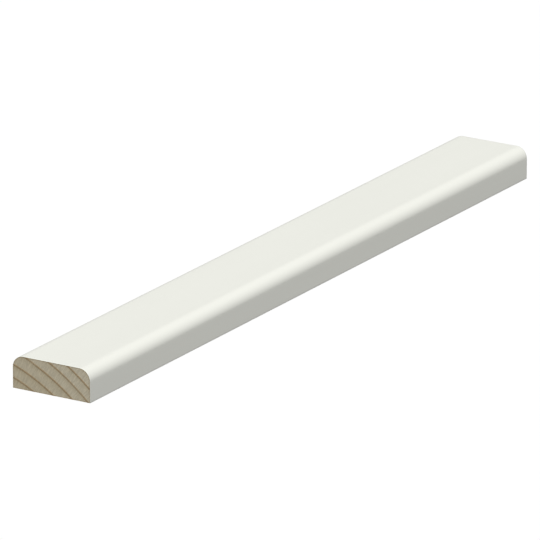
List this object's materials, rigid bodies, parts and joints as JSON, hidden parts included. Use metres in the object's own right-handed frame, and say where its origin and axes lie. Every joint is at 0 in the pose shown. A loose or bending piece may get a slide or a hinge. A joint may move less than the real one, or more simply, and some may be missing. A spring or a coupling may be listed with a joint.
{
  "type": "cover strip",
  "caption": "Short length of flat pine cover strip with a white-painted face, rounded face edges and square-sawn bare ends.",
  "frame": {"origin": "middle of the flat back, which is the underside", "axes": "+X along the length, +Y across the width, +Z out of the back towards the painted face"},
  "size_m": [0.198, 0.021, 0.008],
  "materials": {
    "white_paint": "satin",
    "bare_pine": "matte"
  },
  "bodies": {
    "root": {"cover_strip": "white_paint"}
  },
  "joints": []
}
